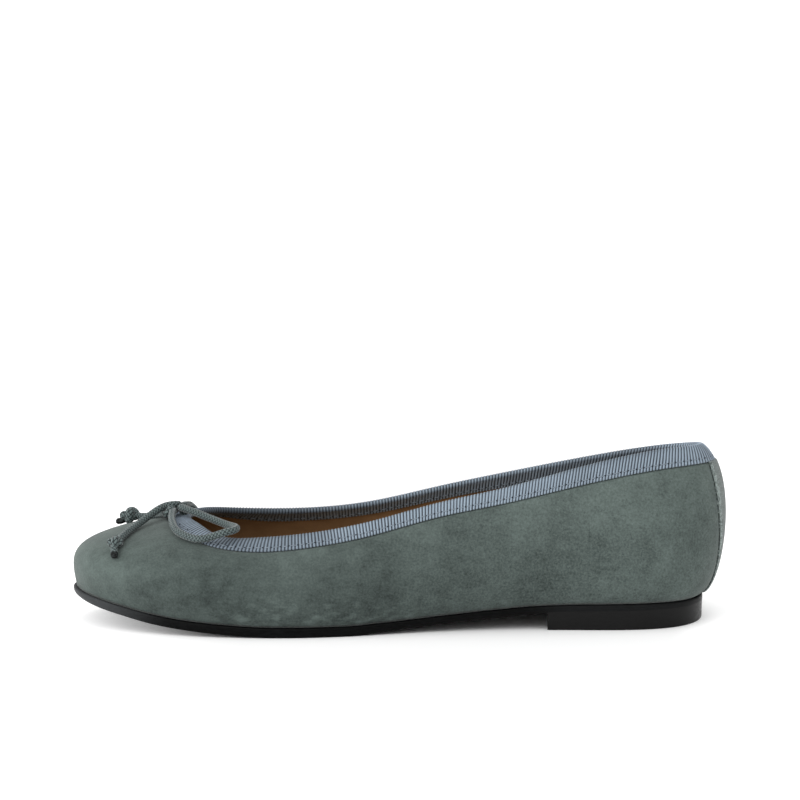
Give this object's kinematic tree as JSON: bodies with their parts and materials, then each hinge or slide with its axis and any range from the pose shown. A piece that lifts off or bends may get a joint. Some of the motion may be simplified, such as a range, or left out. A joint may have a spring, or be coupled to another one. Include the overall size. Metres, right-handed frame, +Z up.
{
  "type": "ballet flat",
  "caption": "Low ballet flat for the right foot: soft suede upper with a round toe, ribbon-bound topline, drawstring bow, thin sole and low heel.",
  "frame": {"origin": "on the floor under the middle of the shoe", "axes": "+X towards the heel, -X towards the toe, -Y towards the inner side of the foot, +Z up"},
  "size_m": [0.2481, 0.0836, 0.0683],
  "materials": {
    "grey_green_suede": "soft napped suede, grey-green",
    "blue_grey_ribbon": "ribbed grosgrain ribbon, blue-grey",
    "tan_leather": "smooth tan leather",
    "black_sole": "satin black",
    "black_heel": "satin black",
    "grey_green_cord": "round braided cord, grey-green"
  },
  "bodies": {
    "root": {"upper": "grey_green_suede", "collar_binding": "blue_grey_ribbon", "insole": "tan_leather", "outsole": "black_sole", "heel": "black_heel", "bow_knot": "grey_green_cord", "near_loop": "grey_green_cord", "far_loop": "grey_green_cord", "near_end": "grey_green_cord", "far_end": "grey_green_cord", "near_end_knot": "grey_green_cord", "far_end_knot": "grey_green_cord", "near_tail": "grey_green_cord", "far_tail": "grey_green_cord"}
  },
  "joints": []
}
